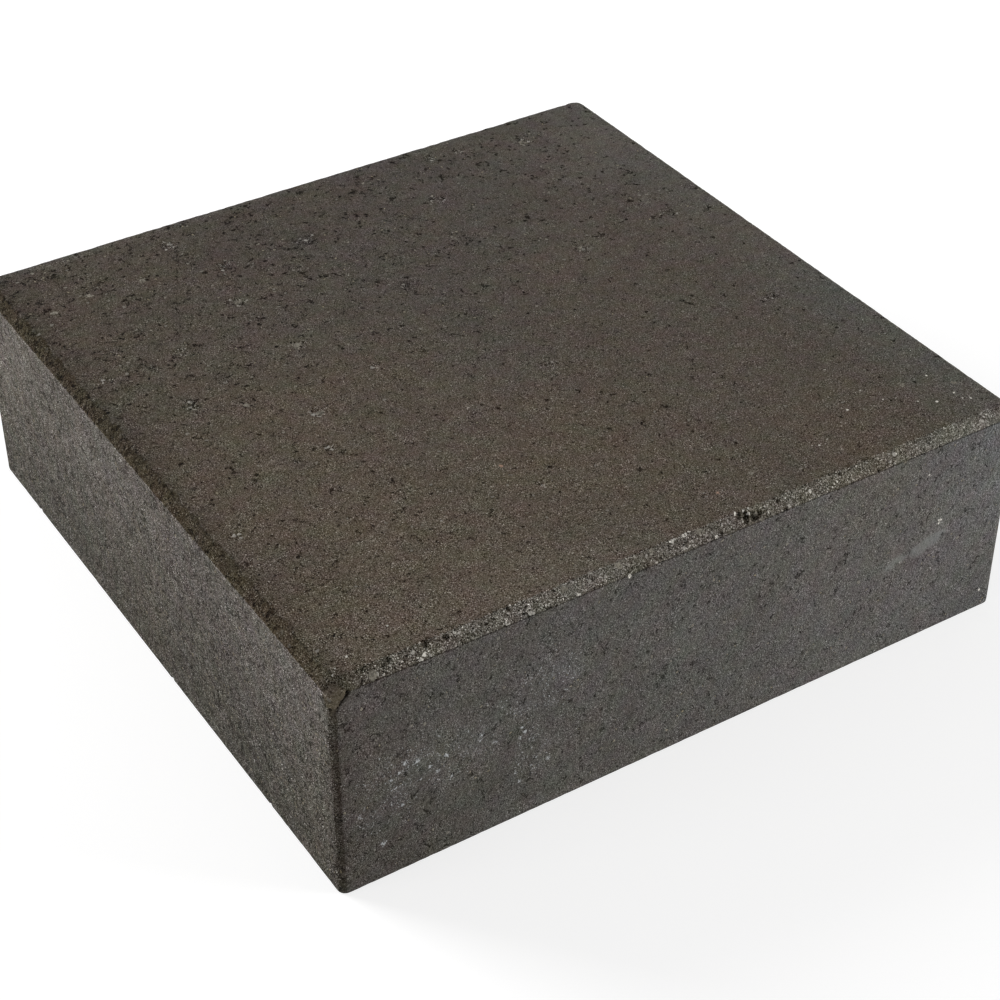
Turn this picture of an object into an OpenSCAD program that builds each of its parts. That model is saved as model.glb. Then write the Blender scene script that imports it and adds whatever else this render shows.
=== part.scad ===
// Concrete step block: one square, solid, dry-cast concrete block for garden
// steps. Plain flat bed face below, straight sides with small rounded upright
// edges, and a narrow pressed chamfer all round the tread face on top.
// Millimetres, +Z up, origin at the middle of the bed face.

/* [Block] */
// Width of the block, left to right
block_width = 350; // [200:5:600]
// Depth of the block, front to back
block_depth = 350; // [200:5:600]
// Height of the block, which is the rise of one step
block_height = 113; // [60:1:250]

/* [Edges] */
// How far the chamfer round the tread reaches in from the sides
chamfer_width = 5; // [2:0.5:12]
// How far the chamfer round the tread reaches down from the top
chamfer_drop = 5; // [2:0.5:12]
// Rounding of the four upright edges
upright_radius = 4; // [1:0.5:12]
// Rounding of the tread face's corners, seen from above
tread_radius = 5; // [1:0.5:12]

/* [Hidden] */
$fn = 96;
concrete_colour = [0.33, 0.31, 0.29];

// The tread is the flat top inside the chamfer
tread_half_width = block_width / 2 - chamfer_width;
tread_half_depth = block_depth / 2 - chamfer_width;
// Spread of the chamfer's slopes when they run on down to the bed face
slope_spread = block_height * chamfer_width / chamfer_drop;

// Plan of the block: a rectangle with rounded corners
module plan() {
    inner_x = block_width / 2 - upright_radius;
    inner_y = block_depth / 2 - upright_radius;
    square([block_width, 2 * inner_y], center = true);
    square([2 * inner_x, block_depth], center = true);
    for (x = [-inner_x, inner_x])
        for (y = [-inner_y, inner_y])
            translate([x, y]) circle(r = upright_radius);
}

// Bar with the tread's two slopes on its long sides, lying along X
module sloped_bar(length, half_top) {
    half_base = half_top + slope_spread;
    section = [
        [-half_base, 0],
        [half_base, 0],
        [half_top, block_height],
        [-half_top, block_height]
    ];
    rotate([90, 0, 90])
        linear_extrude(height = length, center = true)
            polygon(section);
}

// The tread with its slopes carried all the way down, rounded at the hips
module tread_and_slopes() {
    straight_x = tread_half_width - tread_radius;
    straight_y = tread_half_depth - tread_radius;
    sloped_bar(2 * straight_x, tread_half_depth);
    rotate([0, 0, 90])
        sloped_bar(2 * straight_y, tread_half_width);
    for (x = [-straight_x, straight_x])
        for (y = [-straight_y, straight_y])
            translate([x, y, 0])
                cylinder(h = block_height, r1 = tread_radius + slope_spread, r2 = tread_radius);
}

// The whole block, cast in one piece
module step_block() {
    color(concrete_colour)
        intersection() {
            linear_extrude(height = block_height) plan();
            tread_and_slopes();
        }
}

step_block();
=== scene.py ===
"""Concrete step block: the finish of a square, solid, dark grey-brown garden step.

The block that shows is one mesh. It takes the place of the plain CAD solid and fills
the same box: a net of squares is laid over the block, finer where there is relief,
drawn onto the block's true shape, and worn with chips, loose patches and a crumbly rim.
Lengths are in metres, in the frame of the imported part: X runs along the front,
Y to the back, Z up. The marks are placed in millimetres, from the same origin.
"""
import math

import bpy
import numpy as np
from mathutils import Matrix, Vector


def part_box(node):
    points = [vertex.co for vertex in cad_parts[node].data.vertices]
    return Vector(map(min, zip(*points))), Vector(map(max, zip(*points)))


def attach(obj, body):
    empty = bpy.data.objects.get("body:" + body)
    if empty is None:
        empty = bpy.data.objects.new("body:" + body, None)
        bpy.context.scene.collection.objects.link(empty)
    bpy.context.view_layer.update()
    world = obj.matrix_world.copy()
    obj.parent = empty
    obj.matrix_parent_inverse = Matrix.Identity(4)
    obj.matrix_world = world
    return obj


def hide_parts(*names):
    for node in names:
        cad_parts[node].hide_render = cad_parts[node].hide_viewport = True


MM = 0.001

# ------------ the frame

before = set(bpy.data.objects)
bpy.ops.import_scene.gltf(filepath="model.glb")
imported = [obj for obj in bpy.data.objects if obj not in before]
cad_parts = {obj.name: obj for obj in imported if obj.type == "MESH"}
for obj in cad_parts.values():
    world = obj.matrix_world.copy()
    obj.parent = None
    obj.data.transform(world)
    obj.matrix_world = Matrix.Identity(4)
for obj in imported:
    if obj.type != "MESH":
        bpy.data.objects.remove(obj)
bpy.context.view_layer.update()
LOW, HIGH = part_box("step_block")
WIDTH, DEPTH, HEIGHT = (HIGH[i] - LOW[i] for i in range(3))

# Edges of the block, as the CAD solid has them
CHAMFER = 5 * MM
UPRIGHT_RADIUS = 4 * MM
TREAD_RADIUS = 5 * MM
# How far an arris is worn round where two faces meet
ARRIS = 0.7 * MM

# ------------ the marks
# Places in millimetres: x, y on the tread, x, z on the front, y, z on the left side

# Loose patches in the tread, where grains have come away: x, y, radius, depth
LOOSE_PATCHES = [
    (16, -35, 5, 0.9), (136, -45, 4.5, 0.9), (-36, -109, 4, 0.8), (-85, -109, 4, 0.5),
    (-69, 121, 5, 0.9), (-24, 120, 6.5, 0.9), (86, 156, 4.5, 0.9), (69, 157, 4, 0.7),
    (-98, -38, 4, 0.7), (-116, -39, 2.5, 0.6), (-90, -12, 5, 0.8), (-72, 39, 5, 0.8),
    (85, 40, 4, 0.7), (-5, 56, 5.5, 0.7), (-79, 87, 5, 0.9), (-162, -72, 4, 0.6),
    (165, 62, 4.5, 0.7), (160, 38, 5, 0.7), (142, 45, 5, 0.7), (167, -85, 3.5, 0.6),
    (-85, 152, 4.5, 0.8), (119, 147, 5, 0.7), (-135, 22, 5, 0.6), (52, 120, 5, 0.7),
    (-120, 62, 5, 0.6), (-52, 5, 4, 0.5), (76, -59, 2, 0.6), (-158, 60, 4, 0.6),
    (16.5, -154, 2, 0.6), (130, -141, 3, 0.6), (-154, -140, 1.5, 0.9), (-35, -164, 1.2, 0.8),
]
# Places where a bite is out of an edge: x, y, z, radius, depth
BITES = [
    (21.5, -171, 112.5, 2, 1.3), (24.5, -172, 111.5, 2.3, 1.9), (28, -173, 110.5, 2.3, 2.1),
    (31, -172.5, 110.5, 1.6, 1.2), (23.5, -173.5, 109.5, 1.5, 0.9), (40.5, -170.5, 113, 1.1, 0.9),
    (41.5, -171.5, 111.5, 1, 0.9), (42.5, -173, 110.5, 1, 0.8), (43.5, -174.5, 108.5, 1.3, 0.8),
    (10, -174, 109, 1.3, 0.9), (94, -174.5, 108.5, 1.3, 0.8), (75, -171, 112.5, 1.4, 0.8),
    (-147, -171, 112, 1.5, 1), (-149.5, -172, 111, 1.2, 0.8), (-130.5, -171, 112, 1.8, 1.2),
    (-121, -171.5, 112, 1.6, 1.1), (-157.5, -175, 106.5, 0.9, 0.7), (-92, -171, 112.5, 1.6, 0.7),
    (-172.5, 25, 112, 1.6, 0.7), (-171, -25, 113, 1.6, 0.8), (-174.5, 79, 108, 1.4, 0.6),
    (-175, 131, 0, 1.6, 0.8), (-175, -18, 0, 1.5, 0.7), (-175, -113, 0, 1.6, 0.8),
    (-103, 172, 113, 1.8, 0.9), (170, -70, 113, 1.4, 0.6), (172, 96, 112, 2, 1),
    (60, 174, 110, 1.8, 0.9), (175, 40, 0, 1.6, 0.8), (-20, 175, 0, 1.5, 0.7),
]
# The broken upper corner, front left: a point on the break, and which way it faces
CORNER_BREAK = ((-171.5, -172, 105.5), (-0.58, -0.70, 0.42))
# The crack that bounds it: x, y, z, radius, depth
CORNER_CRACK = [
    (-167.5, -174, 110, 0.5, 0.8), (-167, -175, 108.5, 0.9, 1.5), (-167, -175, 107.5, 1.2, 2),
    (-167.5, -175, 106.5, 1, 2), (-168.2, -175, 105.5, 0.7, 1.5), (-169, -175, 104.7, 0.7, 1.2),
    (-169.8, -175, 103.8, 0.7, 1.2), (-170.6, -175, 102.8, 0.7, 1.2),
    (-171.5, -174.5, 101.8, 0.8, 1.2), (-172.5, -174, 101, 0.8, 1.4), (-174, -173, 101, 0.9, 1.5),
]
# Grains that stand out by their colour: x, y, z, radius
WHITE_GRAINS = [
    (107, -137, 113, 0.5), (80, -151, 113, 0.6), (121.5, -128, 113, 0.4),
    (125.5, -139, 113, 0.4), (137.5, -148.5, 113, 0.6), (144.5, -153, 113, 0.5),
    (155.5, -152, 113, 0.5), (156, -157, 113, 0.5), (159, -159, 113, 0.5),
    (154, -135, 113, 0.5), (132, -162, 113, 0.4), (118.5, -106.5, 113, 0.4),
    (134.5, -175, 65, 0.8), (134, -175, 63.5, 0.5), (166.5, -175, 10.5, 0.6),
    (124, -175, 94.5, 0.5), (-137.5, -154.5, 113, 0.5), (-160, -162, 113, 0.5),
    (-168, -167, 113, 0.4), (-167, -165.5, 113, 0.4), (-169.5, -168, 112.5, 0.5),
    (-132, -173.5, 109.5, 0.8), (-134, -174.5, 108.5, 0.7), (-117, -171, 112, 0.7),
    (-12.5, -170.5, 112.5, 0.8), (-11, -170.5, 112.5, 0.7), (-6.5, -170.5, 112.5, 0.7),
    (-5, -170, 113, 0.7), (-3.5, -169.5, 113, 0.6), (-36, -175, 107.5, 0.8),
    (-60.5, -174.5, 108.5, 0.7), (20.5, -170, 113, 0.8), (24.5, -170, 113, 0.6), (27, -170, 113, 0.7),
    (26.5, -171.5, 111.5, 0.7), (8, -174.5, 108.5, 0.8), (58, -172.5, 110.5, 0.7),
]
PALE_GRAINS = [
    (-39, -171, 112, 1.6), (-66, -171.5, 111.5, 1.3), (31, -174.5, 108.5, 1.2),
    (29.5, -172.5, 110.5, 0.9), (2, -171, 112, 1.8), (-22.5, -171, 112, 1.1),
    (-155, -173.5, 109.5, 2.2), (-109, 129, 113, 1.6), (-156, 125, 113, 1.6),
    (-136, 130, 113, 1.6), (-115, 9, 113, 1.3), (-73, 40, 113, 2.4), (-79, 87, 113, 1.8),
    (140, -134.5, 113, 1.4), (160.5, -146, 113, 1), (42.5, -151, 113, 1.2),
    (-90, -13, 113, 1.8), (119, 147, 113, 2), (85, 41, 113, 1.6),
]
PINK_GRAINS = [(22.5, -154.5, 113, 0.9), (-44, -90, 113, 0.8)]
# Chalk on the front: clouds as x, z, half-width, half-height, and flecks as x, z, radius
CHALK_CLOUDS = [(-131, 54, 32, 15), (-77, 66, 20, 15), (-153, 36, 14, 10), (-84, 36, 9, 14)]
CHALK_FLECKS = [
    (-87.5, 50, 1.1), (-87, 47, 1.3), (-88.5, 45, 0.8), (-107.5, 56, 0.9), (-108, 53.5, 1),
    (-101, 49, 0.8), (-114, 61, 0.8), (-143, 58, 1.1), (-137.5, 57, 0.9), (-124, 53, 1),
    (-132, 51, 0.8), (-128.5, 46.5, 0.9), (-118.5, 42, 0.7), (-121.5, 40.5, 0.7),
    (-150.5, 52.5, 1.1), (-146, 36.5, 1.2), (-150, 39.5, 0.8), (-162, 42.5, 0.9), (-164.5, 39.5, 1),
    (-155, 19.5, 1.1), (-89, 20.5, 0.7), (-75, 26.5, 1), (-70.5, 61, 0.7), (-104, 70.5, 0.7),
]
# Smooth scuffed places on the front: x, z, half-width, half-height
SCUFFS = [
    (123.5, 52.5, 5, 3.5), (129.5, 54.5, 5.5, 3.5), (135.5, 57, 4, 2),
    (112, 52, 4.5, 2), (107, 49.5, 3, 1.5),
]
# Pale places on the left side: y, z, radius
LEFT_PALE = [
    (-110, 45, 7), (-160, 55, 6), (-5, 38, 8), (144, 39, 7), (62, 82, 9), (40, 79, 7),
    (148, 64, 14), (-160, 30, 14),
]
# Stained and worn places on the tread: x, y, half-width, half-depth, how much lighter
TREAD_PLACES = [
    (11, 17, 6, 6, -0.2), (-5, 56, 6, 6, -0.2), (-24, 120, 8, 8, -0.2),
    (-148, -106, 20, 22, -0.1), (-75, -163, 62, 15, 0.12), (132, 118, 28, 30, 0.1),
]


# ------------ smooth noise


def hashed(cell, seed):
    """A number from 0 to 1 for each whole-numbered cell, the same every run."""
    x, y, z = (cell[:, i].astype(np.int64) for i in range(3))
    n = (x * 73856093) ^ (y * 19349663) ^ (z * 83492791) ^ (seed * 15485863)
    n &= 0xFFFFFFFF
    n = ((n ^ (n >> 15)) * 739982445) & 0xFFFFFFFF
    n = ((n ^ (n >> 12)) * 695872825) & 0xFFFFFFFF
    return (n ^ (n >> 16)) / 0xFFFFFFFF


def noise(points, size, seed):
    """Smooth noise from -1 to 1 whose lumps are about size across."""
    place = points / size
    cell = np.floor(place)
    inside = place - cell
    inside = inside * inside * (3 - 2 * inside)
    total = np.zeros(len(points))
    for corner in np.ndindex(2, 2, 2):
        weight = np.prod(np.where(corner, inside, 1 - inside), axis=1)
        total += weight * hashed(cell + corner, seed)
    return 2 * total - 1


def grains(points, size, seed):
    """Packed grains about size across: 1 on top of a grain, 0 in the gap between two."""
    place = points / size
    cell = np.floor(place)
    nearest = np.full(len(points), 9.0)
    for step in np.ndindex(3, 3, 3):
        near = cell + step - 1
        middle = near + np.stack([hashed(near, seed + k) for k in range(3)], axis=1)
        reach = 0.45 + 0.35 * hashed(near, seed + 3)
        nearest = np.minimum(nearest, np.linalg.norm(place - middle, axis=1) / reach)
    return np.sqrt(np.clip(1 - nearest**2, 0, 1))


def smooth_step(value, low, high):
    """0 up to low and 1 from high on, eased between them."""
    t = np.clip((value - low) / (high - low), 0, 1)
    return t * t * (3 - 2 * t)


# ------------ the block's shape


def rounded_outline(points, half_x, half_y, radius):
    """Distance in plan outside a rectangle with rounded corners, negative inside it."""
    beyond = np.abs(points[:, :2]) - (half_x - radius, half_y - radius)
    outside = np.linalg.norm(np.maximum(beyond, 0), axis=1)
    return outside + np.minimum(beyond.max(axis=1), 0) - radius


def side_depth(points):
    """How far in from the side faces a point is."""
    return -rounded_outline(points, WIDTH / 2, DEPTH / 2, UPRIGHT_RADIUS)


def soft_max(a, b, radius):
    """The larger of two distances, blended where they meet so that the edge is round."""
    blend = np.maximum(radius - np.abs(a - b), 0)
    return np.maximum(a, b) + blend * blend / (4 * radius)


def outside_block(points):
    """Distance outside the block's surface, negative inside it."""
    z = points[:, 2]
    tread = rounded_outline(
        points, WIDTH / 2 - CHAMFER, DEPTH / 2 - CHAMFER, TREAD_RADIUS
    )
    slope = (tread + z - HEIGHT) / math.sqrt(2)
    upper = soft_max(slope, z - HEIGHT, ARRIS)
    walls = soft_max(upper, -side_depth(points), ARRIS)
    return soft_max(walls, -z, ARRIS)


def outward(points):
    """Unit vectors pointing straight out of the block."""
    step = 0.02 * MM
    slope = np.empty_like(points)
    for axis in range(3):
        shift = np.zeros(3)
        shift[axis] = step
        slope[:, axis] = outside_block(points + shift) - outside_block(points - shift)
    return slope / np.maximum(np.linalg.norm(slope, axis=1, keepdims=True), 1e-12)


def onto_block(points):
    """The points moved onto the block's surface."""
    for _ in range(6):
        points = points - outward(points) * outside_block(points)[:, None]
    return points


# ------------ the squares
# The box round the block is ruled into cells. A square covers 1, 2, 4 ... cells a side

CELLS_ALONG = 1024
CELLS_UP = 320
WIDEST = 64
CELL_COUNTS = (CELLS_ALONG, CELLS_ALONG, CELLS_UP)
CELL = np.array([WIDTH, DEPTH, HEIGHT]) / CELL_COUNTS

# Each face of the box: the axis it faces along, where it stands on it, and the axes
# that run across and up it, in the order that turns its front outwards
TOP, BOTTOM, FRONT, BACK, LEFT, RIGHT = range(6)
BOX_FACES = [
    (2, CELLS_UP, 0, 1), (2, 0, 1, 0),
    (1, 0, 0, 2), (1, CELLS_ALONG, 2, 0),
    (0, 0, 2, 1), (0, CELLS_ALONG, 1, 2),
]
# Widest squares allowed on each face, in cells
FACE_LIMITS = [16, 64, 16, 16, 16, 16]
# How many cells wider a square may be for each metre that it is from fine relief
WIDENING = [3 / MM, 8 / MM, 3 / MM, 4 / MM, 3 / MM, 4 / MM]
# How far in from the sides the relief of the rim and of the foot reaches
RIM_REACH = CHAMFER + ARRIS
FOOT_REACH = 1.2 * MM


def on_box(face, across, up):
    """Cell corners on one face of the box, counted along X, Y and Z."""
    facing, stand, u_axis, v_axis = BOX_FACES[face]
    place = np.empty((len(across), 3), np.int64)
    place[:, facing] = stand
    place[:, u_axis] = across
    place[:, v_axis] = up
    return place


def in_metres(cells):
    return cells * CELL - (WIDTH / 2, DEPTH / 2, 0)


def widest_square(face, points, reach, fine_places):
    """Widest square that shows the relief within reach of each point, in cells."""
    in_x = WIDTH / 2 - np.abs(points[:, 0])
    in_y = DEPTH / 2 - np.abs(points[:, 1])
    side = np.minimum(in_x, in_y)
    rim = np.maximum(side, HEIGHT - points[:, 2]) - RIM_REACH
    foot = np.maximum(side, points[:, 2]) - FOOT_REACH
    upright = np.maximum(in_x, in_y) - UPRIGHT_RADIUS
    bounds = [(rim, 2), (foot, 4), (upright, 4)]
    for middle, radius, finest in fine_places:
        bounds.append((np.linalg.norm(points - middle, axis=1) - radius, finest))
    allowed = np.full(len(points), float(FACE_LIMITS[face]))
    for distance, finest in bounds:
        wider = finest + np.maximum(distance - reach, 0) * WIDENING[face]
        allowed = np.minimum(allowed, wider)
    return allowed


def squares(face, fine_places):
    """Squares over one face of the box, as across, up and width, in cells."""
    _, _, u_axis, v_axis = BOX_FACES[face]
    across, up = np.meshgrid(
        np.arange(0, CELL_COUNTS[u_axis], WIDEST),
        np.arange(0, CELL_COUNTS[v_axis], WIDEST),
    )
    across, up = across.ravel(), up.ravel()
    width = WIDEST
    kept = []
    while width > 1:
        half = width // 2
        middle = in_metres(on_box(face, across + half, up + half))
        reach = half * CELL.max() * math.sqrt(2)
        split = width > widest_square(face, middle, reach, fine_places)
        kept += [(a, b, width) for a, b in zip(across[~split], up[~split])]
        across, up = across[split], up[split]
        across = np.concatenate([across, across + half, across, across + half])
        up = np.concatenate([up, up, up + half, up + half])
        width = half
    return kept + [(a, b, 1) for a, b in zip(across, up)]


def box_corner(face, a, b):
    """A cell corner on one face of the box, as a key shared with the faces beside it."""
    facing, stand, u_axis, v_axis = BOX_FACES[face]
    place = [0, 0, 0]
    place[facing], place[u_axis], place[v_axis] = stand, int(a), int(b)
    return tuple(place)


def square_outline(a, b, width):
    """Every cell corner round a square, in order."""
    steps = range(width)
    low = [(a + k, b) for k in steps]
    right = [(a + width, b + k) for k in steps]
    high = [(a + width - k, b + width) for k in steps]
    left = [(a, b + width - k) for k in steps]
    return low + right + high + left


def surface_mesh(fine_places):
    """Points in cells, faces over them, and each face corner's box face and place on it."""
    tiles = [(face, *square) for face in range(6) for square in squares(face, fine_places)]
    index = {}
    for face, a, b, width in tiles:
        for da, db in ((0, 0), (width, 0), (width, width), (0, width)):
            index.setdefault(box_corner(face, a + da, b + db), len(index))

    faces, corners = [], []

    def add(face, outline):
        keys = [box_corner(face, a, b) for a, b in outline]
        faces.append([index.setdefault(key, len(index)) for key in keys])
        corners.extend((face, a, b) for a, b in outline)

    for face, a, b, width in tiles:
        outline = square_outline(a, b, width)
        outline = [spot for spot in outline if box_corner(face, *spot) in index]
        if len(outline) == 4:
            add(face, outline)
            continue
        middle = (a + width // 2, b + width // 2)
        for start, end in zip(outline, outline[1:] + outline[:1]):
            add(face, [middle, start, end])
    return np.array(list(index)), faces, np.array(corners)


# ------------ the relief


def in_place(marks):
    """Marks given in millimetres as x, y, z, and other lengths: middles and lengths in metres."""
    return [(np.array(mark[:3]) * MM, *(number * MM for number in mark[3:])) for mark in marks]


DENTS = in_place(BITES + CORNER_CRACK)
PATCHES = in_place((x, y, HEIGHT / MM, radius, depth) for x, y, radius, depth in LOOSE_PATCHES)


def near_mark(points, middle, radius):
    """The points inside a cube round a mark, and how many radii each is from its middle."""
    near = np.flatnonzero(np.abs(points - middle).max(axis=1) < 2 * radius)
    return near, np.linalg.norm(points[near] - middle, axis=1) / radius


def dent_depth(points):
    """Depth of all the bites and cracks at each point."""
    ragged = 1 + 0.35 * noise(points, 1.6 * MM, 11)
    deepest = np.zeros(len(points))
    for middle, radius, depth in DENTS:
        near, away = near_mark(points, middle, radius)
        bowl = np.clip(1 - (away * ragged[near]) ** 2, 0, 1)
        deepest[near] = np.maximum(deepest[near], depth * np.sqrt(bowl) * bowl**0.25)
    return deepest


def patch_depth(points):
    """Depth that the loose patches may reach at each point."""
    ragged = 0.45 * noise(points, 2.4 * MM, 12) + 0.35 * noise(points, 5 * MM, 13)
    deepest = np.zeros(len(points))
    for middle, radius, depth in PATCHES:
        near, away = near_mark(points, middle, radius)
        share = smooth_step(1 - away + ragged[near], 0, 0.6)
        deepest[near] = np.maximum(deepest[near], depth * share)
    return deepest


def from_corner(points):
    """How far each point is, in plan, from the broken corner."""
    return np.linalg.norm(points[:, :2] + (WIDTH / 2, DEPTH / 2), axis=1)


def tornness(points, facing):
    """How crumbly the rim is, from 0 where it was pressed smooth to 1 where it tore."""
    by_side = (
        1.0 * np.maximum(-facing[:, 1], 0) ** 2
        + 0.7 * np.maximum(facing[:, 0], 0) ** 2
        + 0.15 * np.maximum(facing[:, 1], 0) ** 2
        + 0.05 * np.maximum(-facing[:, 0], 0) ** 2
    )
    level = np.maximum(1 - facing[:, 2] ** 2, 1e-6)
    drift = 1 + 0.3 * noise(points, 28 * MM, 21)
    drift *= 0.35 + 0.65 * smooth_step(from_corner(points), 8 * MM, 26 * MM)
    return np.clip(by_side / level * drift, 0, 1)


def rim_place(points):
    """Height up the chamfer: +CHAMFER at its upper edge and -CHAMFER at its lower."""
    return side_depth(points) - (HEIGHT - points[:, 2])


def ragged_rim(points):
    """Place on the chamfer, from -1 at its lower edge to 1 at its upper, made ragged."""
    ragged = 0.16 * noise(points, 4 * MM, 31) + 0.12 * noise(points, 1.8 * MM, 32)
    return rim_place(points) / CHAMFER + ragged


def chamfer_wear(points, torn, gaps):
    """Depth of wear down the chamfer: crumbs where it tore, and soft lumps where it was pressed."""
    crumbs = 0.08 + 0.18 * gaps + 0.08 * noise(points, 3 * MM, 33)
    lumps = 0.1 + 0.13 * noise(points, 3.5 * MM, 34) + 0.05 * noise(points, 1.6 * MM, 39)
    return (torn * crumbs + (1 - torn) * np.maximum(lumps, 0)) * MM


def edge_bites(points, ragged):
    """How bitten the chamfer's upper edge is, from 0 to 1."""
    upper_edge = smooth_step(ragged, 0.3, 0.8) * (1 - smooth_step(ragged, 1.2, 1.7))
    bites = smooth_step(noise(points, 4.5 * MM, 35), 0.15, 0.8) * upper_edge
    return bites * smooth_step(from_corner(points), 9 * MM, 14 * MM)


def foot_chips(points):
    """How chipped the edges round the underside are, from 0 to 1."""
    foot = 1 - smooth_step(np.maximum(side_depth(points), points[:, 2]), 0, 2 * MM)
    return foot * smooth_step(noise(points, 3 * MM, 38), 0.1, 0.9)


def relief(points, facing):
    """Depth of wear at each point, and what the material is told about it."""
    torn = tornness(points, facing)
    ragged = ragged_rim(points)
    on_rim = smooth_step(ragged, -1.08, -0.9) * (1 - smooth_step(ragged, 0.95, 1.15))
    gaps = 1 - grains(points, 1.3 * MM, 41)
    bites = edge_bites(points, ragged)
    waves = 0.05 + 0.04 * noise(points, 45 * MM, 36) + 0.03 * noise(points, 9 * MM, 37)
    patch = patch_depth(points)
    dented = dent_depth(points)

    depth = waves * MM + on_rim * chamfer_wear(points, torn, gaps)
    depth += bites * (0.15 + 0.5 * torn) * 0.7 * MM + 0.1 * MM * foot_chips(points)
    depth += patch * (0.15 + 0.85 * gaps)
    depth = np.maximum(depth, dented)
    told = {
        "rim": rim_place(points),
        "torn": torn,
        "crumbly": np.maximum(on_rim * torn, np.clip(patch / (0.6 * MM), 0, 1)),
        "dent": np.clip(np.maximum(dented, 0.5 * bites * MM) / MM, 0, 1),
    }
    return depth, told


def break_corner(points):
    """The points with the broken corner taken off, and how far each was cut back."""
    spot, slope = CORNER_BREAK
    slope = np.array(slope) / np.linalg.norm(slope)
    beyond = (points - np.array(spot) * MM) @ slope
    rough = (0.6 * noise(points, 2.2 * MM, 51) + 0.25 * noise(points, 0.9 * MM, 52)) * MM
    cut = np.clip(beyond + rough * (beyond > -0.5 * MM), 0, None)
    return points - cut[:, None] * slope, cut


# ------------ colour by place


def linear(red, green, blue):
    """A colour given as it looks on screen, from 0 to 255, as the shader wants it."""
    levels = [channel / 255 for channel in (red, green, blue)]
    return [v / 12.92 if v <= 0.04045 else ((v + 0.055) / 1.055) ** 2.4 for v in levels]


# Pairs of colours, for the left and the right end
TREAD_NEAR = linear(91, 81.5, 69.5), linear(84.5, 76.5, 67.5)
TREAD_FAR = linear(76, 69, 61), linear(81.5, 75.5, 69.5)
SIDE_GREY = linear(86.5, 82, 76.5), linear(93.5, 91, 88)
# The same for near and far, for low and high, and for two kinds of stone
PRESSED_RIM = linear(78, 67.5, 52), linear(69, 60.5, 46)
# The left side's grey low and high: paler upwards as a painted gradient of light falling from above
LEFT_GREY_LIT_FROM_ABOVE = linear(90, 85.5, 77), linear(112, 106.5, 100)
PALE_STONES = linear(164, 153, 130), linear(132, 128, 120)
# The loose rim at its left end, along its middle and at its right end
LOOSE_RIM = linear(86, 80.5, 69.5), linear(97.5, 92.5, 83.5), linear(105, 101.5, 94.5)
# Colours that stand alone
# Painted highlight: the pale grey of the tread's right and back edges where they catch the light
TREAD_EDGE_HIGHLIGHT = linear(88, 86, 81)
SIDE_BLUISH = linear(95.5, 95, 95)
PRESSED_CORNER = linear(83, 76, 61.5)
SOOT = linear(48, 42, 31)
BROKEN_FACE = linear(121, 111, 95)
CRUMB_STONE = linear(172, 168, 160)
CHALK_WHITE = linear(184, 186, 187)

COLOURED_MARKS = [
    (in_place(PALE_GRAINS), linear(128, 123, 112)),
    (in_place(WHITE_GRAINS), linear(206, 202, 193)),
    (in_place(PINK_GRAINS), linear(158, 130, 112)),
]
FLECKS = in_place((x, -DEPTH / 2 / MM, z, radius) for x, z, radius in CHALK_FLECKS)
SCUFF_PLACES = in_place((x, -DEPTH / 2 / MM, z, *halves) for x, z, *halves in SCUFFS)


def coloured_marks(points):
    """How near each point is to a coloured mark, 0.5 at its rim and 1 in its middle, and its colour."""
    nearest = np.full(len(points), np.inf)
    colours = np.empty((len(points), 3))
    for marks, colour in COLOURED_MARKS:
        for middle, radius in marks:
            away = np.linalg.norm(points - middle, axis=1) / radius
            closer = away < nearest
            nearest[closer] = away[closer]
            colours[closer] = colour
    return np.clip(1 - nearest / 2, 0, 1), colours


def sides_seen(facing):
    """How surely each point is on the front, on the left side and on the tread, from 0 to 1."""
    seen = (-facing[:, 1], -facing[:, 0], facing[:, 2])
    return [smooth_step(towards, 0.5, 0.8) for towards in seen]


def ellipses(points, axes, marks, fade):
    """1 inside any of the ellipses, given as two places and half-widths in millimetres."""
    most = np.zeros(len(points))
    for mark in marks:
        away = (points[:, axes] / MM - mark[:2]) / mark[2:]
        share = 1 - smooth_step(np.linalg.norm(away, axis=1), 1 - fade, 1 + fade)
        most = np.maximum(most, share)
    return most


def tint(points, facing):
    """What the colour of each place is multiplied by: its drift in hue and in lightness."""
    on_front, on_left, on_top = sides_seen(facing)
    warm = 0.4 * noise(points, 32 * MM, 61) + 0.5 * noise(points, 90 * MM, 62)
    green = 0.6 * noise(points, 26 * MM, 63) + 0.6 * noise(points, 11 * MM, 64)
    light = 0.4 * noise(points, 30 * MM, 65) + 0.4 * noise(points, 110 * MM, 66)
    light += 0.45 * noise(points, 12 * MM, 67)
    warmer = warm[:, None] * (0.075, 0.0, -0.085)
    greener = green[:, None] * (-0.02, 0.03, -0.02)
    coloured = 1 - 0.3 * on_front - 0.55 * on_left
    uneven = 1 + 0.8 * on_front + 1.3 * on_left + 1.1 * on_top * points[:, 1] / DEPTH
    hue = 1 + coloured[:, None] * (warmer + greener)
    return hue * (1 + 0.1 * uneven * light)[:, None]


def tread_shade(points):
    """How much lighter than plain the tread is: dark along the left, and in stained places."""
    from_left = points[:, 0] + WIDTH / 2
    shade = -0.15 * (1 - smooth_step(from_left, 4 * MM, 28 * MM))
    shade -= 0.1 * (1 - smooth_step(from_left, 5 * MM, 10 * MM))
    for *place, lighter in TREAD_PLACES:
        shade += lighter * ellipses(points, [0, 1], [place], 0.6)
    return shade


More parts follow.
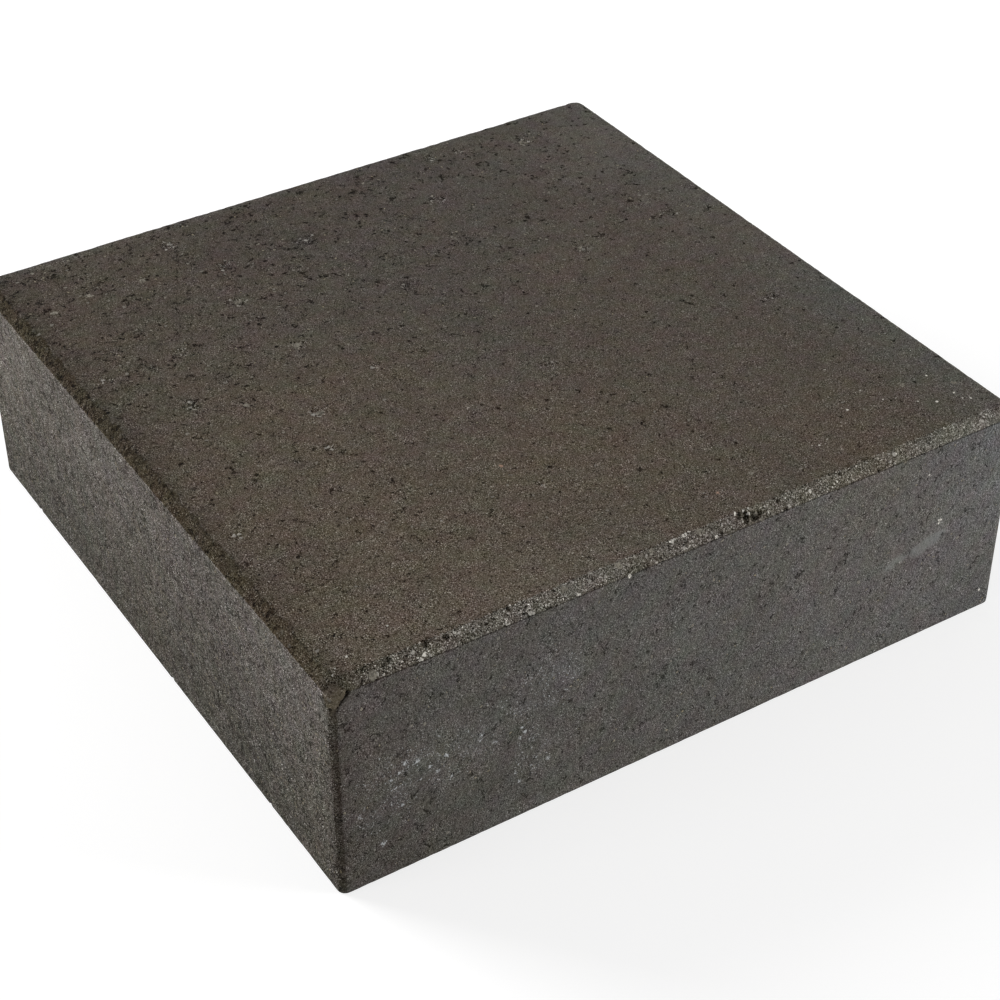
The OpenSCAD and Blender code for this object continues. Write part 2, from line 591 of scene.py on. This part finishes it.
def left_shade(points):
    """How much lighter than plain the left side is: lighter towards the back as painted light, and pale
    near both ends and under the chamfer.
    """
    pale = [(y, z, radius, radius) for y, z, radius in LEFT_PALE]
    from_lip = np.abs(rim_place(points) + CHAMFER + 1.2 * MM)
    # Painted light: the left side grows lighter towards the back, as if lit from behind
    shade = 0.07 * points[:, 1] / DEPTH
    shade += 0.1 * smooth_step(np.abs(points[:, 1]), 90 * MM, 170 * MM)
    shade += 0.14 * ellipses(points, [1, 2], pale, 0.6)
    return shade + 0.12 * (1 - smooth_step(from_lip, 0.8 * MM, 2 * MM))


def front_shade(points, scuffed):
    """How much lighter than plain the front is: pale scuffs, and dark near its left foot."""
    from_foot = points[:, 0] + WIDTH / 2 + 0.5 * points[:, 2]
    return 0.36 * scuffed - 0.14 * (1 - smooth_step(from_foot, 25 * MM, 110 * MM))


def chalkiness(points, on_front):
    """How chalky each point is: thinly in the clouds, and fully in the flecks."""
    chalk = 0.32 * on_front * ellipses(points, [0, 2], CHALK_CLOUDS, 0.45)
    for middle, radius in FLECKS:
        near, away = near_mark(points, middle, radius)
        chalk[near] = np.maximum(chalk[near], np.clip(1.3 - 0.6 * away, 0, 1))
    return chalk


def places_told(points, facing):
    """Where the block is chalky, smooth, light, rough in lumps and gritty in grains."""
    on_front, on_left, on_top = sides_seen(facing)
    across, back = points[:, 0] / WIDTH, points[:, 1] / WIDTH
    scuffed = ellipses(points, [0, 2], SCUFFS, 0.2)
    smooth = on_front * scuffed
    shade = 1 + on_top * tread_shade(points) + on_left * left_shade(points)
    shade += on_front * front_shade(points, scuffed)
    rougher = 0.85 * (1.5 * back - 0.6 * across) - 0.05 + 0.2 * noise(points, 60 * MM, 68)
    rough = 0.9 + on_top * rougher + 1.6 * on_left
    gritty = 1 - on_top * (0.12 + 0.5 * back + 0.3 * across) + 0.52 * on_left - 0.18 * on_front
    unscuffed = 1 - 0.6 * smooth
    return {
        "chalk": chalkiness(points, on_front),
        "smooth": smooth,
        "shade": shade,
        "rough": rough * unscuffed,
        "gritty": gritty * unscuffed,
    }


# ------------ the mesh

# The flat map for baking: where each box face lies on a sheet, in metres, and its scale
GAP = 3 * MM
SHEET = WIDTH + 2 * HEIGHT + 4 * GAP
MAP_PLACES = {
    TOP: (GAP, GAP, 1.0),
    LEFT: (2 * GAP + WIDTH, GAP, 1.0),
    BACK: (3 * GAP + WIDTH + HEIGHT, GAP, 1.0),
    FRONT: (GAP, 2 * GAP + DEPTH, 1.0),
    RIGHT: (GAP, 3 * GAP + DEPTH + HEIGHT, 1.0),
    BOTTOM: (2 * GAP + WIDTH, 2 * GAP + DEPTH, (2 * HEIGHT + GAP) / WIDTH),
}


def flat_map(corners):
    """Place of each face corner on the map, from 0 to 1."""
    made = np.empty((len(corners), 2))
    for face, (left, low, scale) in MAP_PLACES.items():
        _, _, u_axis, v_axis = BOX_FACES[face]
        here = corners[:, 0] == face
        size = CELL[[u_axis, v_axis]] * scale
        made[here] = corners[here, 1:] * size + (left, low)
    return made / SHEET


def marks_to_show():
    """Marks that need a fine net: each one's middle and radius, and its widest square, in cells."""
    marks = [(middle, radius, 1) for middle, radius, _ in DENTS]
    marks += [(middle, 0.8 * radius, 2) for middle, radius, _ in PATCHES]
    marks += [(*grain, 1) for alike, _ in COLOURED_MARKS for grain in alike]
    marks += [(*fleck, 2) for fleck in FLECKS]
    return marks + [(middle, half_width, 4) for middle, half_width, _ in SCUFF_PLACES]


def tell(mesh, name, numbers):
    """Keep a number or a vector at each point of the mesh, for its material to read."""
    kind, field = ("FLOAT_VECTOR", "vector") if numbers.ndim == 2 else ("FLOAT", "value")
    layer = mesh.attributes.new(name, kind, "POINT")
    layer.data.foreach_set(field, numbers.ravel())


def build_block():
    """The block, with what its material needs to know at each point."""
    cells, faces, corners = surface_mesh(marks_to_show())
    points = onto_block(in_metres(cells))
    facing = outward(points)
    depth, told = relief(points, facing)
    worn, cut = break_corner(points - facing * depth[:, None])
    told.update(places_told(points, facing))
    told["broken"] = np.clip(cut / MM, 0, 1)
    told["mark"], mark_colour = coloured_marks(points)
    told.update(facing=facing, tint=tint(points, facing), mark_colour=mark_colour)

    mesh = bpy.data.meshes.new("concrete_block")
    mesh.from_pydata(worn.tolist(), [], faces)
    mesh.polygons.foreach_set("use_smooth", [True] * len(faces))
    for name, numbers in told.items():
        tell(mesh, name, numbers)
    places = mesh.uv_layers.new(name="OFBake")
    places.uv.foreach_set("vector", flat_map(corners).ravel())
    mesh.validate()
    return bpy.data.objects.new("concrete_block", mesh)


# ------------ the material

SCREEN_GAMMA = 2.2
# No place is darker than this, on the screen's scale, where 1 is white
DARKEST = (0.05, 0.05, 0.05)


class Recipe:
    """Shorthand for the nodes of a material or a world. Lengths go in as metres."""

    def __init__(self, owner):
        self.owner = owner
        owner.use_nodes = True
        self.tree = owner.node_tree
        self.tree.nodes.clear()

    def add(self, kind, inputs=None, **settings):
        """A node of a kind, with its settings, and its inputs set or linked."""
        node = self.tree.nodes.new("ShaderNode" + kind)
        for name, value in settings.items():
            setattr(node, name, value)
        for name, value in (inputs or {}).items():
            if isinstance(value, bpy.types.NodeSocket):
                self.tree.links.new(value, node.inputs[name])
            else:
                node.inputs[name].default_value = value
        return node

    def place(self):
        """The place that is being coloured, in the object's own frame."""
        return self.add("TexCoord").outputs["Object"]

    def attribute(self, name, output="Fac"):
        return self.add("Attribute", attribute_name=name).outputs[output]

    def math(self, operation, a, b=0.0, clamp=False):
        return self.add("Math", {0: a, 1: b}, operation=operation, use_clamp=clamp).outputs[0]

    def chain(self, operation, terms):
        made = terms[0]
        for term in terms[1:]:
            made = self.math(operation, made, term)
        return made

    def total(self, *terms):
        return self.chain("ADD", terms)

    def times(self, *terms):
        return self.chain("MULTIPLY", terms)

    def most(self, *terms):
        return self.chain("MAXIMUM", terms)

    def rest(self, share):
        """What is left of 1 beside a share."""
        return self.math("SUBTRACT", 1.0, share, clamp=True)

    def cubed(self, value):
        return self.times(value, value, value)

    def tailed(self, value, plain, drawn_out):
        """A value with its extremes drawn out: mostly small, now and then large."""
        return self.times(value, self.total(plain, self.times(value, value, drawn_out)))

    def ramp(self, value, low, high, to_low=0.0, to_high=1.0):
        """value eased from one span to another, and held at the ends; low may be the larger."""
        spans = {"From Min": low, "From Max": high, "To Min": to_low, "To Max": to_high}
        node = self.add("MapRange", {"Value": value, **spans}, interpolation_type="SMOOTHSTEP")
        return node.outputs[0]

    def vector(self, operation, a, b):
        return self.add("VectorMath", {0: a, 1: b}, operation=operation).outputs[0]

    def scaled(self, vector, factor):
        """A vector or a colour, times a number."""
        return self.add("VectorMath", {0: vector, "Scale": factor}, operation="SCALE").outputs[0]

    def split(self, vector):
        return self.add("SeparateXYZ", {0: vector}).outputs[:3]

    def mix(self, share, a, b):
        """Colour a, changed by a share to colour b."""
        a, b = ((*colour, 1.0) if isinstance(colour, list) else colour for colour in (a, b))
        node = self.add("Mix", {0: share, 6: a, 7: b}, data_type="RGBA", clamp_factor=True)
        return node.outputs[2]

    def gamma(self, colour, power):
        return self.add("Gamma", {"Color": colour, "Gamma": power}).outputs[0]

    def stepped(self, colour, *steps):
        """A colour made lighter or darker by steps on the screen's scale."""
        seen = self.gamma(colour, 1 / SCREEN_GAMMA)
        for step in steps:
            seen = self.vector("ADD", seen, step)
        seen = self.vector("MAXIMUM", seen, DARKEST)
        return self.gamma(seen, SCREEN_GAMMA)

    def by_ray(self, kinds, seen, other):
        """One shader to rays of some kinds, and another to the rest."""
        path = self.add("LightPath")
        is_kind = self.most(*(path.outputs[f"Is {kind} Ray"] for kind in kinds))
        return self.add("MixShader", {0: is_kind, 1: other, 2: seen}).outputs[0]


class Concrete(Recipe):
    """Dry-cast concrete: brown tread, greyer sides, and a crumbly or a pressed rim."""

    def __init__(self, material):
        super().__init__(material)
        self.find_place()
        self.read_told()
        self.make_patterns()
        self.find_zones()
        self.find_worn()
        self.find_stones()

    def find_place(self):
        """The place as it is, and as noise and grains are read at it."""
        place = self.place()
        self.at_x, self.at_y, self.at_z = self.split(place)
        # Noise is turned askew, so that no face of the block cuts it along its grid
        self.turned = self.add("Mapping", {"Vector": place, "Rotation": (0.6, 0.5, 0.4)}).outputs[0]
        # Grains are bent a little too, so that they are less round
        bend = self.scaled(self.noise_vector(1.6 * MM, 20, 0), 1.6 * MM)
        self.bent = self.vector("ADD", self.turned, bend)

    def read_told(self):
        """What the mesh tells at each point, apart from what is used only once."""
        self.rim = self.attribute("rim")
        self.torn = self.attribute("torn")
        self.crumbly = self.attribute("crumbly")
        self.smooth = self.attribute("smooth")
        self.rough = self.attribute("rough")
        self.gritty = self.attribute("gritty")
        self.broken = self.attribute("broken")
        self.face_x, self.face_y, _ = self.split(self.attribute("facing", "Vector"))

    def make_patterns(self):
        """Clouds and packed grains, from the finest to the coarsest."""
        self.fine = self.noise(0.46 * MM, 1, detail=0)
        self.sand = self.noise(2.0 * MM, 2, roughness=0.6)
        self.clump = self.noise(6.5 * MM, 3, detail=3, roughness=0.6)
        self.lumps = self.total(self.tailed(self.sand, 0.4, 24), self.tailed(self.clump, 0.45, 22))
        self.grain, self.grain_kind, _, self.grain_reach = self.grains(0.55 * MM, 9)
        self.stone, self.stone_kind, self.stone_pick, self.stone_reach = self.grains(2.1 * MM, 10)

    def noise_node(self, size, seed, detail, roughness=0.5):
        return self.add("TexNoise", {
            "Vector": self.shifted(seed, self.turned),
            "Scale": 1 / size,
            "Detail": detail,
            "Roughness": roughness,
        })

    def noise(self, size, seed, detail=2.0, roughness=0.5):
        """Cloudy noise with lumps of a size, centred on 0, about -0.25 to 0.25."""
        made = self.noise_node(size, seed, detail, roughness)
        return self.math("SUBTRACT", made.outputs["Fac"], 0.5)

    def noise_vector(self, size, seed, detail):
        """Three noises together, each centred on 0."""
        made = self.noise_node(size, seed, detail)
        return self.vector("SUBTRACT", made.outputs["Color"], (0.5, 0.5, 0.5))

    def grains(self, size, seed):
        """Packed grains of a size: each one's tone, -1 to 1, two more numbers of its own,
        0 to 1, and the distance from its middle, in sizes."""
        inputs = {"Vector": self.shifted(seed, self.bent), "Scale": 1 / size}
        node = self.add("TexVoronoi", inputs, feature="F1")
        first, second, third = self.add("SeparateColor", {0: node.outputs["Color"]}).outputs
        tone = self.times(self.math("SUBTRACT", first, 0.5), 2.0)
        return tone, second, third, node.outputs["Distance"]

    def shifted(self, seed, place):
        """The place moved by its own step for each seed, so that no two patterns are alike."""
        return self.vector("ADD", place, (0.37 * seed, -0.71 * seed, 0.53 * seed))

    def find_zones(self):
        """Shares of tread, side and chamfer, and of the places that differ on each."""
        self.left = self.ramp(self.face_x, -0.35, -0.75)
        uneven = self.times(self.clump, self.rest(self.torn), 7 * MM)
        ragged = self.total(self.rim, self.times(self.sand, 3 * MM), uneven)
        self.tread = self.ramp(ragged, CHAMFER - 0.4 * MM, CHAMFER + 0.4 * MM)
        straight = self.total(self.rim, self.times(self.sand, 1 * MM))
        self.side = self.ramp(straight, -CHAMFER + 0.2 * MM, -CHAMFER - 0.2 * MM)
        self.chamfer = self.rest(self.most(self.tread, self.side))
        self.pressed = self.times(self.chamfer, self.rest(self.torn))
        self.crumbs = self.times(self.crumbly, self.rest(self.side))
        upright = self.math("ABSOLUTE", self.times(self.face_x, self.face_y))
        upright = self.total(upright, self.times(self.sand, 0.15))
        self.upright = self.times(self.ramp(upright, 0.24, 0.36), self.side, self.rest(self.broken))

    def find_worn(self):
        """Worn places, with pits, and short cracks along the lines where a noise crosses 0."""
        blotch = self.total(self.noise(15 * MM, 5, detail=3), self.times(self.rough, 0.13))
        self.worn = self.most(self.times(self.crumbly, self.tread), self.ramp(blotch, 0.23, 0.33))
        pit = self.ramp(self.total(self.sand, self.times(self.worn, -0.085)), -0.2, -0.23)
        line = self.math("ABSOLUTE", self.noise(7 * MM, 4, detail=3))
        spread = self.total(self.noise(5 * MM, 8, detail=1), self.times(self.rough, 0.07))
        spread = self.total(spread, self.times(self.worn, 0.06))
        crack = self.times(self.ramp(line, 0.034, 0.014), self.ramp(spread, 0.17, 0.21))
        self.pits = self.most(pit, self.times(crack, self.ramp(self.sand, 0.08, 0.0)))

    def find_stones(self):
        """Pale stones, holes left by others, and a painted shadow ring round pale stones, picked by the
        stones' own numbers.
        """
        # Stones are mostly small, and a few are larger
        size = self.total(0.13, self.times(self.cubed(self.stone_pick), 0.22))
        size = self.total(size, self.times(self.crumbs, 0.1), self.times(self.rough, 0.05))
        beyond = self.math("SUBTRACT", self.stone_reach, size)
        few = self.times(self.total(0.007, self.times(self.rough, 0.012)), self.rest(self.crumbs))
        gone = self.math("LESS_THAN", self.stone_kind, few)
        ragged = self.total(beyond, self.times(self.sand, 1.6))
        hole = self.times(gone, self.ramp(ragged, 0.2, 0.12))
        many = self.total(self.times(self.crumbs, 0.11), self.times(self.worn, 0.15))
        many = self.total(0.045, many, self.times(self.left, -0.02))
        shown = self.math("GREATER_THAN", self.stone_kind, self.rest(many))
        shown = self.times(shown, self.rest(self.times(self.pressed, 0.7)))
        self.pale = self.times(shown, self.ramp(beyond, 0.08, 0.0))
        # Painted shadow: a dark ring round each pale stone, away from the crumbs
        shadow_ring = self.times(shown, self.ramp(beyond, 0.26, 0.1), self.rest(self.crumbs), 0.4)
        self.hole = self.most(self.pits, hole, shadow_ring)

    def tread_colour(self):
        """Brown, darker at the back, and paler along its right and back edges, a painted highlight
        where those edges catch the light.
        """
        across = self.ramp(self.at_x, -160 * MM, 160 * MM)
        near = self.mix(across, *TREAD_NEAR)
        far = self.mix(across, *TREAD_FAR)
        plain = self.mix(self.ramp(self.at_y, -160 * MM, 160 * MM), near, far)
        right_edge = self.ramp(self.at_x, 120 * MM, WIDTH / 2)
        back_edge = self.ramp(self.at_y, 158 * MM, DEPTH / 2)
        # Painted highlight along the right and back edges
        edge = self.times(self.most(right_edge, back_edge), 0.75)
        return self.mix(edge, plain, TREAD_EDGE_HIGHLIGHT)

    def side_colour(self):
        """Grey, bluish high up at the right end, and paler upwards on the left side as painted light
        falling from above.
        """
        plain = self.mix(self.ramp(self.at_x, -170 * MM, 170 * MM), *SIDE_GREY)
        right_end = self.ramp(self.at_x, 110 * MM, WIDTH / 2)
        bluish = self.times(right_end, self.ramp(self.at_z, 20 * MM, 80 * MM))
        plain = self.mix(bluish, plain, SIDE_BLUISH)
        # Painted light: the left side grows paler upwards, as if lit from above
        left = self.mix(self.ramp(self.at_z, 10 * MM, 100 * MM), *LEFT_GREY_LIT_FROM_ABOVE)
        return self.mix(self.left, plain, left)

    def rim_colour(self):
        """Pressed parts are brown with soot towards the tread, and loose parts pale."""
        low, high = 0.2 * CHAMFER, 1.5 * CHAMFER
        outer = self.times(self.ramp(self.rim, low, CHAMFER), self.ramp(self.rim, high, CHAMFER))
        clotted = self.ramp(self.total(self.clump, self.times(self.sand, 0.4)), -0.16, 0.14)
        corner = self.ramp(self.at_y, -150 * MM, -168 * MM)
        sooty = self.times(outer, clotted, self.rest(corner))
        pressed = self.mix(self.ramp(self.at_y, -160 * MM, 160 * MM), *PRESSED_RIM)
        pressed = self.mix(sooty, pressed, SOOT)
        pressed = self.mix(corner, pressed, PRESSED_CORNER)
        left, middle, right = LOOSE_RIM
        loose = self.mix(self.ramp(self.at_x, -170 * MM, -80 * MM), left, middle)
        loose = self.mix(self.ramp(self.at_x, 80 * MM, WIDTH / 2), loose, right)
        return self.mix(self.torn, pressed, loose)

    def base_colour(self):
        """The colour by place, before grains and marks."""
        colour = self.mix(self.tread, self.side_colour(), self.tread_colour())
        colour = self.mix(self.chamfer, colour, self.rim_colour())
        colour = self.mix(self.broken, colour, BROKEN_FACE)
        colour = self.vector("MULTIPLY", colour, self.attribute("tint", "Vector"))
        return self.scaled(colour, self.attribute("shade"))

    def hue(self):
        """Faint drift of hue, warmer or cooler and greener or redder; scuffed places are bluer."""
        warm, green, _ = self.split(self.noise_vector(9 * MM, 6, 1))
        share = self.total(0.85, self.times(self.tread, 0.15))
        warm, green = self.times(warm, share), self.times(green, share)
        drift = self.scaled((0.021, 0.0, -0.021), warm)
        drift = self.vector("ADD", drift, self.scaled((0.0, 0.014, 0.014), self.smooth))
        return self.vector("ADD", drift, self.scaled((-0.014, 0.028, -0.014), green))

    def tone(self):
        """Light and dark: 0 on the whole, more on light grains, and less in pits, holes, dents and gaps
        between crumbs, darkening that is painted shade.
        """
        busy = self.ramp(self.noise(10 * MM, 7), -0.12, 0.14, 0.85, 1.15)
        cube = self.cubed(self.grain)
        speckle = self.total(self.times(cube, 0.03), self.times(cube, cube, self.grain, 0.12))
        small = self.total(speckle, self.tailed(self.fine, 0.4, 4.5))
        small = self.times(small, busy, self.gritty)
        # The lumps' tone follows their height: the concrete's own clouds, with painted shade in the
        # hollows
        large = self.times(self.lumps, self.rough, 0.1)
        # Among crumbs, light grains stand out more than dark ones
        loud = self.total(
            self.most(self.times(cube, 0.22), self.times(cube, 0.12)),
            self.tailed(self.fine, 0.18, 3), self.times(self.cubed(self.stone), 0.03),
            # Painted shade in the gaps between crumbs
            self.times(self.ramp(self.stone_reach, 0.35, 0.7), -0.03),
        )
        loud = self.times(loud, self.ramp(self.at_x, 80 * MM, 170 * MM, 1.0, 0.65))
        even = self.rest(self.total(self.times(self.broken, 0.4), self.times(self.pressed, 0.35)))
        made = self.times(self.total(small, large, self.times(self.crumbs, loud)), even)
        # Painted shade in the pits, holes, cracks and shadow rings
        dark = self.total(self.times(self.tread, -0.08), self.times(self.crumbs, 0.04), -0.11)
        return self.total(
            0.008, made, self.times(self.hole, dark), self.times(self.worn, self.tread, -0.012),
            # Painted shade in bites and dents
            self.ramp(self.attribute("dent"), 0.1, 0.8, 0.0, -0.15),
        )

    def marked(self, colour):
        """The colour with stray grains and chalk on it, and dark lines along edges."""
        pale = self.mix(self.stone_pick, *PALE_STONES)
        pale = self.mix(self.crumbs, pale, CRUMB_STONE)
        colour = self.mix(self.times(self.pale, 0.8), colour, pale)
        colour = self.chalked(colour)
        uneven = self.total(self.times(self.grain, 0.14), self.times(self.sand, 1.6))
        share = self.ramp(self.total(self.attribute("mark"), uneven), 0.46, 0.6)
        mark = self.attribute("mark_colour", "Vector")
        mark = self.scaled(mark, self.ramp(self.grain, -1.0, 1.0, 0.6, 1.3))
        return self.edged(self.mix(share, colour, mark))

    def chalked(self, colour):
        """Chalk on the front: white grains, curled wisps, solid flecks and a thin veil."""
        chalk = self.attribute("chalk")
        crowd = self.times(chalk, self.ramp(self.clump, -0.1, 0.2, 0.04, 0.6))
        specks = self.math("LESS_THAN", self.grain_kind, crowd)
        specks = self.times(specks, self.ramp(self.grain_reach, 0.6, 0.3))
        thin = self.times(self.math("ABSOLUTE", self.sand), -6.0)
        wisps = self.total(chalk, thin, self.times(self.grain, 0.15), self.times(self.clump, 1.2))
        wisps = self.ramp(wisps, 0.5, 0.9)
        white = self.times(self.most(specks, wisps), self.ramp(self.grain, -1.0, 0.8, 0.35, 0.95))
        solid = self.total(chalk, self.times(self.sand, 2.8), self.times(self.grain, 0.25))
        solid = self.times(self.ramp(solid, 0.86, 1.05), 0.9)
        veil = self.times(chalk, self.ramp(self.clump, -0.15, 0.2), 0.12)
        return self.mix(self.most(white, solid, veil), colour, CHALK_WHITE)

    def edged(self, colour):
        """Dark lines where faces meet: painted shade in the crease under the chamfer, and darker bands
        down the uprights.
        """
        away = self.total(self.rim, self.times(self.sand, 1.2 * MM), CHAMFER + 0.15 * MM)
        # Painted shade: a thin dark line in the crease under the chamfer
        crease_shade = self.ramp(self.math("ABSOLUTE", away), 0.55 * MM, 0.15 * MM)
        crease_shade = self.times(crease_shade, self.torn, self.rest(self.upright))
        # The uprights are darker down their rounding, more so higher up
        upright = self.times(self.upright, self.ramp(self.at_z, 0.0, 90 * MM, 0.55, 1.0))
        upright_darkening = self.scaled((-0.076, -0.081, -0.088), upright)
        return self.stepped(colour, self.times(crease_shade, -0.12), upright_darkening)

    def height(self):
        """Fine relief, in metres."""
        small = self.total(self.times(self.grain_reach, -0.2 * MM), self.times(self.fine, 0.2 * MM))
        return self.total(
            self.times(self.gritty, small), self.times(self.rough, self.lumps, 1.1 * MM),
            self.times(self.hole, -0.7 * MM), self.times(self.pale, 0.3 * MM),
            self.times(self.crumbs, self.stone_reach, -0.35 * MM),
        )

    def finish(self):
        """The finished material."""
        colour = self.marked(self.stepped(self.base_colour(), self.tone(), self.hue()))
        rough = self.ramp(self.sand, -0.15, 0.15, 0.8, 0.94)
        rough = self.math("SUBTRACT", rough, self.times(self.smooth, 0.15))
        bump = self.add("Bump", {"Strength": 1.0, "Distance": 1.0, "Height": self.height()})
        shader = self.add("BsdfPrincipled", {
            "Base Color": colour,
            "Roughness": rough,
            "Specular IOR Level": 0.1,
            "Normal": bump.outputs[0],
        })
        self.add("OutputMaterial", {"Surface": shader.outputs[0]})
        return self.owner


# ------------ the studio

FLOOR_HALF = 40.0
FLOOR_GREY = (0.45, 0.45, 0.45, 1)
# The floor's glow round the block and far off, and how far off each holds
GLOW_NEAR, GLOW_FAR = 0.68, 0.86
GLOW_STARTS, GLOW_ENDS = 0.8, 2.2
WHITE = (1, 1, 1, 1)
WORLD_LEVEL = 0.36
# Square lamps, all as wide: name, place and watts
SOFTBOX_WIDTH = 0.9
SOFTBOXES = [
    ("key_back", (-1.0, 1.5, 1.15), 32),
    ("fill_left", (-1.7, 0.0, 0.7), 5),
    ("fill_front", (1.8, -1.5, 0.45), 50),
]
# The camera's place, its turns in degrees and its focal length in mm
CAMERA_PLACE = (-0.4616, -0.7505, 0.6901)
CAMERA_TURNS = (52.70, 0.13, -32.36)
CAMERA_LENS = 82.0


def floor_material():
    """Pale floor that keeps the block's shadow, and glows so that it is seen as white."""
    recipe = Recipe(bpy.data.materials.new("pale_floor"))
    plain = recipe.add("BsdfDiffuse", {"Color": FLOOR_GREY}).outputs[0]
    away = recipe.add("VectorMath", {0: recipe.place()}, operation="LENGTH").outputs["Value"]
    strength = recipe.ramp(away, GLOW_STARTS, GLOW_ENDS, GLOW_NEAR, GLOW_FAR)
    glow = recipe.add("Emission", {"Strength": strength}).outputs[0]
    glowing = recipe.add("AddShader", {0: plain, 1: glow}).outputs[0]
    seen = recipe.by_ray(("Camera", "Glossy", "Transmission"), glowing, plain)
    recipe.add("OutputMaterial", {"Surface": seen})
    return recipe.owner


def add_floor():
    mesh = bpy.data.meshes.new("floor")
    corners = [(x * FLOOR_HALF, y * FLOOR_HALF, 0) for x, y in ((-1, -1), (1, -1), (1, 1), (-1, 1))]
    mesh.from_pydata(corners, [], [(0, 1, 2, 3)])
    floor = bpy.data.objects.new("floor", mesh)
    mesh.materials.append(floor_material())
    bpy.context.collection.objects.link(floor)


def add_softbox(name, place, power):
    """A square lamp at a place, turned to the block."""
    lamp = bpy.data.lights.new(name, "AREA")
    lamp.size = SOFTBOX_WIDTH
    lamp.energy = power
    rig = bpy.data.objects.new(name, lamp)
    rig.location = place
    aim = Vector((0, 0, HEIGHT / 2)) - rig.location
    rig.rotation_euler = aim.to_track_quat("-Z", "Y").to_euler()
    bpy.context.collection.objects.link(rig)


def add_world():
    """Even light from all round, and plain white where the camera looks past the floor."""
    recipe = Recipe(bpy.data.worlds.new("studio"))
    light = recipe.add("Background", {"Strength": WORLD_LEVEL}).outputs[0]
    white = recipe.add("Background", {"Color": WHITE}).outputs[0]
    recipe.add("OutputWorld", {"Surface": recipe.by_ray(("Camera", "Transmission"), white, light)})
    bpy.context.scene.world = recipe.owner


def add_camera():
    """Long lens looking down on the front left corner."""
    lens = bpy.data.cameras.new("camera")
    lens.lens = CAMERA_LENS
    camera = bpy.data.objects.new("camera", lens)
    camera.location = CAMERA_PLACE
    camera.rotation_euler = [math.radians(turn) for turn in CAMERA_TURNS]
    bpy.context.collection.objects.link(camera)
    bpy.context.scene.camera = camera


# ------------ the scene

block = build_block()
block.data.materials.append(Concrete(bpy.data.materials.new("dark_concrete")).finish())
bpy.context.collection.objects.link(block)
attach(block, "root")
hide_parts("step_block")

add_floor()
add_world()
for softbox in SOFTBOXES:
    add_softbox(*softbox)
add_camera()
bpy.context.scene.view_settings.view_transform = "Standard"
